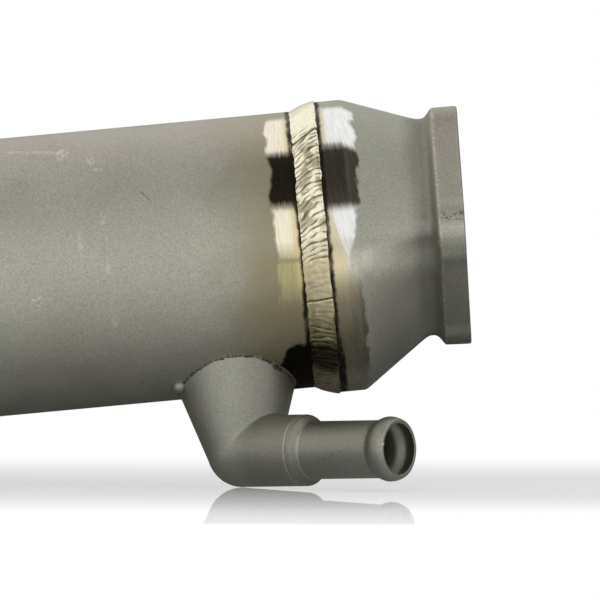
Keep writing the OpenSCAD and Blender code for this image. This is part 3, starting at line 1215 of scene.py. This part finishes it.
@dataclass
class EndCap:
    """Cast cap: round rim, cone to an eared square neck, flange, gas passage and tapped holes."""

    end: End
    lanes: int = 192
    land_r: float = 64.4
    bevel: float = 3.5
    knuckle_x: float = -51.5
    neck_x: float = -19.5
    lip: float = 5.0
    slant: float = 3.4
    flange_t: float = 12.0
    flat_half: float = 41.5
    bolt_r: float = 42.0
    ear_r: float = 12.75
    port_r: float = 30.0
    port_len: float = 20.0
    chamber_r: float = 59.0
    ledge_x: float = -58.0
    hole_depth: float = 18.0
    drill_r: float = 4.3
    thread_r: float = 4.95
    pitch: float = 1.5
    land_round: float = 0.3
    knuckle_round: float = 1.6
    neck_round: float = 3.4
    lip_round: float = 2.6
    back_round: float = 0.9
    face_round: float = 1.5
    throat_round: float = 3.0
    back_inset: float = 0.3
    sharp: float = 42.0

    def reach(self, turn: float, inset: float) -> float:
        """Distance from the port's axis to the eared outline in one direction.

        Args:
            turn: Direction, from +Y towards +Z.
            inset: How far the outline is drawn in.

        Returns:
            The distance in millimetres.
        """
        p, q = math.cos(turn - math.pi / 4), math.sin(turn - math.pi / 4)
        spot = self.bolt_r / math.sqrt(2.0)
        flat = self.flat_half if inset == 0.0 else spot + self.ear_r - inset
        tiny = 1e-9
        best = max(min(flat / (abs(p) + tiny), spot / (abs(q) + tiny)),
                   min(spot / (abs(p) + tiny), flat / (abs(q) + tiny)))
        along = spot * (abs(p) + abs(q))
        room = (self.ear_r - inset) ** 2 - 2.0 * spot ** 2 + along ** 2
        return max(best, along + math.sqrt(room)) if room > 0.0 else best

    def section(self, turn: float) -> list[Vector]:
        """Closed outline of the casting's wall in one direction round its axis.

        Args:
            turn: The direction, from +Y towards +Z.

        Returns:
            The outline's points.
        """
        away = Vector((0.0, math.cos(turn), math.sin(turn)))
        tilt = LAYOUT.flange_frame()

        def shell(x: float, r: float) -> Vector:
            """Point at distance r from the shell's axis."""
            return Vector((x, 0.0, LAYOUT.axis_z)) + away * r

        def flange(x: float, r: float) -> Vector:
            """Point at distance r from the port's tilted axis."""
            return tilt @ (Vector((x, 0.0, 0.0)) + away * r)

        neck = self.reach(turn, self.lip)
        rim = self.reach(turn, 0.0)
        wide, narrow = shell(self.knuckle_x, LAYOUT.cap_r), flange(self.neck_x, neck)
        outside = rounded([
            (shell(LAYOUT.cap_end_x, self.land_r), 0.0),
            (shell(LAYOUT.cap_end_x + self.bevel, LAYOUT.cap_r), self.land_round),
            (wide, self.knuckle_round), *((wide.lerp(narrow, t), 0.0) for t in (0.12, 0.3, 0.5, 0.65, 0.8)),
            (narrow, self.neck_round),
            (flange(-self.flange_t - self.slant, neck), self.lip_round),
            (flange(-self.flange_t, rim - self.back_inset), self.back_round),
            (flange(0.0, rim), self.face_round),
            (flange(0.0, self.port_r + 1.0), 0.0),
        ], 5)
        inside = rounded([
            (flange(-1.0, self.port_r), 0.0),
            (flange(-self.port_len, self.port_r), self.throat_round),
            (shell(self.knuckle_x, self.chamber_r), self.throat_round),
            (shell(self.ledge_x, self.chamber_r), 0.0),
            (shell(self.ledge_x, LAYOUT.socket_r), 0.0),
            (shell(LAYOUT.cap_end_x, LAYOUT.socket_r), 0.0),
        ])
        return outside + inside

    def thread_cutter(self, turn: float) -> Piece:
        """Solid that cuts one tapped hole.

        Args:
            turn: Direction of the hole from the port's axis, from +Z.

        Returns:
            The cutter.
        """
        profile = [(0.0, 1.0), (self.thread_r + 1.2, 1.0), (self.thread_r + 0.3, -0.5)]
        depth = 0.9
        while depth < self.hole_depth - 2.5:
            profile += [(self.drill_r, -depth), (self.thread_r, -depth - self.pitch / 2)]
            depth += self.pitch
        profile += [(self.drill_r, -depth), (self.drill_r, 1.0 - self.hole_depth), (0.0, -self.hole_depth)]
        bm = lathe(profile, 40, closed=False)
        lay = Matrix.Translation((0.0, 0.0, self.bolt_r)) @ Matrix.Rotation(math.pi / 2, 4, "Y")
        place = LAYOUT.flange_frame() @ Matrix.Rotation(turn, 4, "X") @ lay
        return to_object(bm, "thread_cutter", self.end.matrix @ place)

    def build(self) -> Piece:
        """Makes the casting with its tapped holes cut.

        Returns:
            The dressed piece.
        """
        sections = [self.section(TURN * i / self.lanes) for i in range(self.lanes)]
        piece = to_object(loft(sections), self.end.value + "_cap_casting", self.end.matrix, self.sharp)
        cutters = [self.thread_cutter(TURN * i / 4) for i in range(4)]
        for cutter in cutters:
            cut = piece.modifiers.new("hole", "BOOLEAN")
            cut.operation = "DIFFERENCE"
            cut.solver = "EXACT"
            cut.object = cutter
        bake_modifiers(piece)
        for cutter in cutters:
            mesh = cutter.data
            bpy.data.objects.remove(cutter)
            bpy.data.meshes.remove(mesh)
        piece.data.set_sharp_from_angle(angle=math.radians(self.sharp))
        return dress(piece, CapFinish(self.end).material(), self.end.value + "_end_cap")


@dataclass
class WeldBead:
    """Lap weld between cap and shell, laid in ripples like a row of leaning coins."""

    end: End
    steps: int = 960
    toe_shell_x: float = -75.3
    toe_cap_x: float = -63.3
    top_x: float = -64.2
    top_r: float = 67.55
    crown: float = 0.55
    across: int = 22
    deep: float = 0.95
    lump: float = 0.14
    skin: float = 0.06
    root: tuple[Span, ...] = ((65.2, -66.0), (63.0, -70.5))
    root_r: float = 65.5

    def ripple(self, lift: float, x: float, t: float) -> float:
        """Depth of the ripples at an angle round the shell, a place along it and a share of the width.

        Args:
            lift: Angle round the shell in radians.
            x: Place along the shell.
            t: Share of the weld's width.

        Returns:
            The depth in millimetres.
        """
        edge = ease(t, 0.0, 0.12) * ease(t, 1.0, 0.9)
        ring = Vector((math.cos(lift), math.sin(lift), 0.0)) * LAYOUT.shell_r
        lump = noise.noise(ring * 0.27 + Vector((0.0, 0.0, x * 0.4)))
        return edge * (self.deep * RIPPLES.depth(math.degrees(lift), x) + self.lump * (1.0 - lump))

    def waver(self, lift: float, t: float) -> float:
        """Sideways wander of the weld's edges.

        Args:
            lift: Angle round the shell in radians.
            t: Share of the weld's width.

        Returns:
            The shift in millimetres.
        """
        slow = noise.noise(Vector((math.cos(lift) * 4.0, math.sin(lift) * 4.0, 3.0)))
        quick = noise.noise(Vector((math.cos(lift) * 19.0, math.sin(lift) * 19.0, 5.0 + 3.0 * t)))
        return (0.5 * slow + 0.5 * quick) * abs(2.0 * t - 1.0)

    def build(self) -> Piece:
        """Makes the rippled ring.

        Returns:
            The dressed piece.
        """
        toe = Vector((LAYOUT.shell_r - self.skin, self.toe_shell_x))
        chord = Vector((self.top_r, self.top_x)) - toe
        out = Vector((chord.y, -chord.x)).normalized()
        line = [toe + chord * (i / self.across) + out * self.crown * math.sin(math.pi * i / self.across)
                for i in range(self.across + 1)]
        profile = [(min(p.x, self.top_r), p.y) for p in line]
        profile += [(LAYOUT.cap_r - self.skin, self.toe_cap_x), *self.root]
        bm = lathe(profile, self.steps)
        bmesh.ops.transform(bm, matrix=LAYOUT.shell_frame(), verts=bm.verts)
        span = self.toe_cap_x - self.toe_shell_x
        for vert in bm.verts:
            y, z = vert.co.y, vert.co.z - LAYOUT.axis_z
            r = math.hypot(y, z)
            t = (vert.co.x - self.toe_shell_x) / span
            if r < LAYOUT.shell_r - 0.1 or (r < self.root_r and t > 0.75):
                continue
            lift = math.atan2(z, -y)
            deep = self.ripple(lift, vert.co.x, clamp(t)) if 0.01 < t < 0.99 else 0.0
            vert.co.x += self.waver(lift, clamp(t))
            vert.co.y = y * (r - deep) / r
            vert.co.z = LAYOUT.axis_z + z * (r - deep) / r
        piece = to_object(bm, self.end.value + "_weld_ripples", self.end.matrix, 75.0)
        return dress(piece, WeldFinish(self.end).material(), self.end.value + "_weld_bead")


@dataclass
class CoolantElbow:
    """Cast elbow with its braze on the shell and, at the front, a tack weld."""

    end: End
    voxel: float = 0.65
    rounds: int = 7
    braze_lanes: int = 240
    braze_leg: float = 0.45
    tack_r: float = 3.1
    tack_turn: float = 21.0
    tack_reach: float = 28.0
    tack_rise: float = 0.5

    def casting(self, finish: Material) -> Piece:
        """Makes the elbow, its crease rounded as a casting's is.

        Args:
            finish: Material of the piece.

        Returns:
            The dressed piece.
        """
        bm = bmesh.new()
        bm.from_mesh(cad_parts[self.end.value + "_coolant_elbow"].data)
        bmesh.ops.remove_doubles(bm, verts=bm.verts, dist=1e-6)
        bmesh.ops.scale(bm, vec=(1.0 / MM,) * 3, verts=bm.verts)
        piece = to_object(bm, self.end.value + "_elbow_casting", None, 180.0)
        grid = piece.modifiers.new("grid", "REMESH")
        grid.mode = "VOXEL"
        grid.voxel_size = self.voxel * MM
        soften = piece.modifiers.new("soften", "SMOOTH")
        soften.factor = 0.5
        soften.iterations = self.rounds
        bake_modifiers(piece)
        piece.data.shade_smooth()
        return dress(piece, finish, self.end.value + "_coolant_elbow")

    def braze(self) -> Piece:
        """Makes the uneven fillet that follows the elbow's mouth over the round shell.

        Returns:
            The dressed piece.
        """
        slope = (LAYOUT.mouth_r - LAYOUT.barrel_r) / (LAYOUT.corner_drop - LAYOUT.shell_r)

        def on_shell(r: float, turn: float, rise: float) -> Vector:
            """Point at distance r from the elbow's axis, a rise above the shell's skin.

            Args:
                r: Distance from the elbow's axis.
                turn: Direction round it.
                rise: Height over the skin.

            Returns:
                The point.
            """
            side = r * math.sin(turn)
            return Vector((r * math.cos(turn), side,
                           math.sqrt(LAYOUT.shell_r ** 2 - side ** 2) + rise))

        sections = []
        for i in range(self.braze_lanes):
            turn = TURN * i / self.braze_lanes
            key = Vector((math.cos(turn) * 9.0, math.sin(turn) * 9.0, 1.0))
            leg = self.braze_leg * (1.0 + 0.35 * noise.noise(key))
            dip = LAYOUT.shell_r - math.sqrt(LAYOUT.shell_r ** 2 - (LAYOUT.mouth_r * math.sin(turn)) ** 2)
            foot = LAYOUT.mouth_r + dip * slope
            sections.append([
                on_shell(foot + leg, turn, -0.05), on_shell(foot + leg * 0.62, turn, leg * 0.24),
                on_shell(foot + leg * 0.24, turn, leg * 0.56), on_shell(foot - 0.35, turn, leg),
                on_shell(foot - 1.0, turn, leg * 0.5), on_shell(foot - 0.6, turn, -0.3),
            ])
        place = self.end.matrix @ LAYOUT.elbow_frame()
        piece = to_object(loft(sections), self.end.value + "_braze_fillet", place, 60.0)
        return dress(piece, BrazeFinish(self.end).material(), self.end.value + "_saddle_braze")

    def tack(self, finish: Material) -> Piece:
        """Makes the round tack weld, settled on the shell.

        Args:
            finish: Material of the piece.

        Returns:
            The dressed piece.
        """
        bm = bmesh.new()
        bmesh.ops.create_icosphere(bm, subdivisions=4, radius=self.tack_r)
        for vert in bm.verts:
            vert.co *= 1.0 + 0.05 * noise.noise(vert.co * 0.9)
        turn = math.radians(self.tack_turn)
        side = self.tack_reach * math.sin(turn)
        up = math.sqrt(LAYOUT.shell_r ** 2 - side ** 2) + self.tack_rise
        spot = (-self.tack_reach * math.cos(turn), side, up)
        piece = to_object(bm, "front_tack_ball", LAYOUT.elbow_frame() @ Matrix.Translation(spot), 180.0)
        return dress(piece, finish, "front_tack_weld")

    def build(self) -> None:
        """Makes the elbow's pieces."""
        finish = ElbowFinish(self.end).material()
        self.casting(finish)
        self.braze()
        if self.end is End.FRONT:
            self.tack(finish)


@dataclass
class HoseStub:
    """Formed tube: spigot, collar between two fine joints, shoulder, straight run and hose bead."""

    end: End
    steps: int = 144
    stub_r: float = 13.25
    bore_r: float = 11.45
    spigot_r: float = 13.2
    spigot_s: float = 26.6
    collar: float = 1.1
    shoulder: float = 4.1
    run_s: float = 60.0
    bore_s: float = 50.0
    mouth_s: float = 88.6
    crest_s: float = 83.6
    bead_rise: float = 6.3
    bead_r: float = 9.5
    bead_h: float = 1.58

    def roll(self, base: float, s: float) -> float:
        """Radius of a wall with the rolled bead, at a distance along the stub.

        Args:
            base: Radius of the straight wall.
            s: Distance along the stub.

        Returns:
            The radius.
        """
        away = s - self.crest_s
        if away < 0.0:
            return base + self.bead_h * (1.0 - ease(-away, 0.0, self.bead_rise))
        return base + self.bead_h - self.bead_r + math.sqrt(self.bead_r ** 2 - away ** 2)

    def outline(self) -> list[Span]:
        """Closed profile of the wall: radius and distance along the stub.

        Returns:
            The profile's corners.
        """
        start = LAYOUT.barrel_len
        full = LAYOUT.barrel_r - 0.02
        points = [(self.spigot_r, self.spigot_s), (self.spigot_r, start - 0.1)]
        points += [(full - 0.75, start - 0.05), (full - 0.2, start + 0.12), (full, start + 0.35)]
        end = start + self.collar
        points += [(full, end - 0.25), (full - 0.3, end), (full - 0.2, end + 0.2)]
        drop = full - 0.1 - self.stub_r
        for k in range(1, 15):
            t = k / 14
            r = self.stub_r + drop * (1.0 + math.cos(math.pi * t)) / 2
            points.append((r, end + 0.2 + (self.shoulder - 0.2) * t))
        points.append((self.stub_r, self.run_s))
        first, last = self.crest_s - self.bead_rise, self.mouth_s - 0.55
        stations = [first + (last - first) * k / 28 for k in range(29)]
        points += [(self.roll(self.stub_r, s), s) for s in stations]
        lip, hole = self.roll(self.stub_r, self.mouth_s), self.roll(self.bore_r, self.mouth_s)
        points += [(lip - 0.2, self.mouth_s - 0.16), (lip - 0.55, self.mouth_s),
                   (hole + 0.4, self.mouth_s), (hole + 0.1, self.mouth_s - 0.15)]
        points += [(self.roll(self.bore_r, s), s) for s in reversed(stations)]
        points += [(self.bore_r, self.bore_s), (self.bore_r, self.spigot_s)]
        return points

    def build(self) -> Piece:
        """Makes the stub.

        Returns:
            The dressed piece.
        """
        bm = lathe(self.outline(), self.steps)
        piece = to_object(bm, self.end.value + "_stub_tube", self.end.matrix @ LAYOUT.barrel_frame(), 40.0)
        return dress(piece, StubFinish(self.end).material(), self.end.value + "_hose_stub")


@dataclass
class Body:
    """Shell and the tube bundle inside it, which keep their solids' shapes."""

    tubes: int = 37
    baffles: int = 4

    def build(self) -> None:
        """Coats the shell, plates and tubes."""
        plate = PlainSteel("plate_steel", (0.52, 0.51, 0.48), 0.34, (0.4, 0.5)).material()
        tube = PlainSteel("tube_steel", (0.55, 0.54, 0.51), 0.3, (0.03, 1.2)).material()
        coats = {"shell": ShellFinish().material()}
        coats.update({end.value + "_header_plate": plate for end in End})
        coats.update({f"baffle_plate_{i + 1}": plate for i in range(self.baffles)})
        coats.update({f"gas_tube_{i + 1:02d}": tube for i in range(self.tubes)})
        for name, finish in coats.items():
            coat_mesh(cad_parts[name], finish)


@dataclass
class Studio:
    """Pale floor, white surroundings, dark flags that only reflections see, and the camera."""

    aim: tuple[float, float, float] = (-78.2, 0.0, -27.5)
    distance: float = 8000.0
    frame_width: float = 275.4
    sensor: float = 36.0
    roll: float = 5.3
    floor_normal: tuple[float, float, float] = (0.095, -0.026, 0.9951)
    floor_level: float = -119.8
    floor_size: float = 9000.0
    floor_tone: Colour = (0.93, 0.93, 0.925)
    shadow_lift: float = 0.6
    painted_shadow_depth: float = 0.27
    gloss: float = 0.02
    ior: float = 1.55
    shine_slope: float = 0.00145
    shine_level: float = 0.86
    shine_front: Span = (-462.0, -454.0)
    painted_shadow_front: Span = (-360.0, -100.0)
    painted_shadow_back: Span = (80.0, 400.0)
    cloth_size: float = 1500.0
    cloth_rise: float = 0.4
    side_middle: Span = (950.0, 500.0)
    side_half: Span = (1200.0, 1650.0)

    def surroundings(self) -> None:
        """Lights everything evenly from a white world."""
        world = bpy.data.worlds.new("white_room")
        bpy.context.scene.world = world
        world.use_nodes = True
        background = world.node_tree.nodes["Background"]
        background.inputs["Color"].default_value = (1.0, 1.0, 1.0, 1.0)
        background.inputs["Strength"].default_value = 1.0

    def level_sheet(self, name: str, size: float, rise: float, cloth: Material) -> Piece:
        """Lays a square sheet along the floor.

        Args:
            name: Name of the sheet.
            size: Half its width.
            rise: Its height over the floor.
            cloth: Its material.

        Returns:
            The sheet.
        """
        normal = Vector(self.floor_normal).normalized()
        bm = bmesh.new()
        bmesh.ops.create_grid(bm, x_segments=1, y_segments=1, size=size)
        turn = Vector((0.0, 0.0, 1.0)).rotation_difference(normal).to_matrix().to_4x4()
        sheet = to_object(bm, name, Matrix.Translation(normal * (self.floor_level + rise)) @ turn)
        sheet.data.materials.append(cloth)
        return sheet

    def floor(self) -> None:
        """Lays the floor, white far from the object, with a painted shadow band and slight gloss near it."""
        g = Graph("floor_white")
        _, y, _ = g.place(End.FRONT).parts
        behind = y.drop(*self.painted_shadow_back)
        near = y.step(*self.painted_shadow_front) * behind
        # Painted shadow: a soft grey band across the floor under the object.
        tone = near * -self.painted_shadow_depth + 1.0
        seen = g.add("LightPath", out="Is Camera Ray")
        for ray in ("Is Glossy Ray", "Is Transmission Ray"):
            seen = do("MAXIMUM", seen, g.add("LightPath", out=ray))
        plain = g.add("BsdfDiffuse", [("Color", self.floor_tone)])
        ground = g.mixed(seen * near.step(0.0, 1.0, 1.0, self.shadow_lift), plain, g.glow(tone))
        mirror = g.add("BsdfGlossy", [("Color", g.join(tone, tone, tone)), ("Roughness", self.gloss)])
        fall = g.math("MULTIPLY_ADD", y, self.shine_slope, self.shine_level, hold=True)
        kept = fall * (y.step(*self.shine_front) * behind)
        shine = g.add("Fresnel", [("IOR", self.ior)]) * kept
        self.level_sheet("floor", self.floor_size, 0.0, g.one_sided(g.mixed(shine, ground, mirror)))

    def floor_shade_flag(self) -> None:
        """Lays a cloth on the floor, pale in front and dark behind, that only the object's reflections see
        from above: painted shade of the floor under and behind the object.
        """
        g = Graph("floor_shade_cloth")
        x, y, _ = g.place(End.FRONT).parts
        cloth = g.one_sided(g.glow(y.step(-310.0, 45.0, 0.88, 0.07) + x.step(40.0, 360.0, 0.0, 0.2)))
        self.hide_from_camera(self.level_sheet("floor_shade_flag", self.cloth_size, self.cloth_rise, cloth))

    def hide_from_camera(self, panel: Piece) -> None:
        """Leaves a flag to reflections alone.

        Args:
            panel: The flag.
        """
        panel.visible_camera = False
        panel.visible_diffuse = False
        panel.visible_shadow = False

    def flag(self, name: str, start: float, stop: float, radius: float, x: Span, tone: float) -> None:
        """Bends a flag round the object that only reflections see.

        Args:
            name: Name of the flag.
            start: Lower edge, in degrees up from the camera's side.
            stop: Upper edge.
            radius: Distance from the object.
            x: Ends of the flag along X.
            tone: Its grey.
        """
        g = Graph(name + "_cloth")
        bm = bmesh.new()
        low = math.radians(start)
        verts = [bm.verts.new((at, -radius * math.cos(low), radius * math.sin(low))) for at in x]
        edge = bm.edges.new(verts)
        bmesh.ops.spin(bm, geom=verts + [edge], cent=(0.0, 0.0, 0.0), axis=(-1.0, 0.0, 0.0),
                       angle=math.radians(stop - start), steps=16)
        panel = to_object(bm, name)
        panel.data.materials.append(g.surface(g.add("Emission", [("Color", (tone, tone, tone))])))
        self.hide_from_camera(panel)

    def side_flag(self, name: str, x: float, tone: float) -> None:
        """Stands a flag with soft edges beside the object, from its front to far behind it.

        Args:
            name: Name of the flag.
            x: Its place.
            tone: Its grey.
        """
        g = Graph(name + "_cloth")
        _, y, z = g.place(End.FRONT).parts
        soft = y.step(-700.0, 300.0) * z.drop(1000.0, 1700.0) * y.drop(1600.0, 2600.0)
        bm = bmesh.new()
        bmesh.ops.create_grid(bm, x_segments=1, y_segments=1, size=1.0)
        place = Matrix.Translation((x, *self.side_middle)) @ Matrix.Rotation(math.pi / 2, 4, "Y")
        panel = to_object(bm, name, place @ Matrix.Diagonal((*self.side_half, 1.0, 1.0)))
        panel.data.materials.append(g.surface(g.glow(soft * (tone - 1.0) + 1.0)))
        self.hide_from_camera(panel)

    def camera(self) -> None:
        """Sets the camera square to the object, rolled as the object lies."""
        data = bpy.data.cameras.new("camera")
        data.sensor_width = self.sensor
        data.lens = self.sensor * self.distance / self.frame_width
        data.clip_end = 100.0
        camera = bpy.data.objects.new("camera", data)
        bpy.context.scene.collection.objects.link(camera)
        turn = math.radians(self.roll)
        right = Vector((math.cos(turn), 0.0, -math.sin(turn)))
        up = Vector((math.sin(turn), 0.0, math.cos(turn)))
        back = Vector((0.0, -1.0, 0.0))
        place = (Vector(self.aim) + back * self.distance) * MM
        axes = Matrix((right, up, back)).transposed().to_4x4()
        camera.matrix_world = Matrix.Translation(place) @ axes
        bpy.context.scene.camera = camera

    def build(self) -> None:
        """Builds the whole set."""
        bpy.context.scene.view_settings.view_transform = "Standard"
        self.surroundings()
        self.floor()
        self.floor_shade_flag()
        self.flag("top_flag", 36.0, 87.0, 1500.0, (-290.0, 420.0), 0.04)
        self.side_flag("left_flag", -1900.0, 0.3)
        self.side_flag("right_flag", 1700.0, 0.14)
        self.flag("back_flag", 156.0, 178.3, 1900.0, (-2600.0, 1800.0), 0.05)
        self.camera()


def main() -> None:
    """Builds the set and the cooler, piece by piece."""
    logging.basicConfig(level=logging.INFO, format="%(message)s")
    Studio().build()
    Body().build()
    for end in End:
        EndCap(end).build()
        WeldBead(end).build()
        CoolantElbow(end).build()
        HoseStub(end).build()


if __name__ == "__main__":
    main()
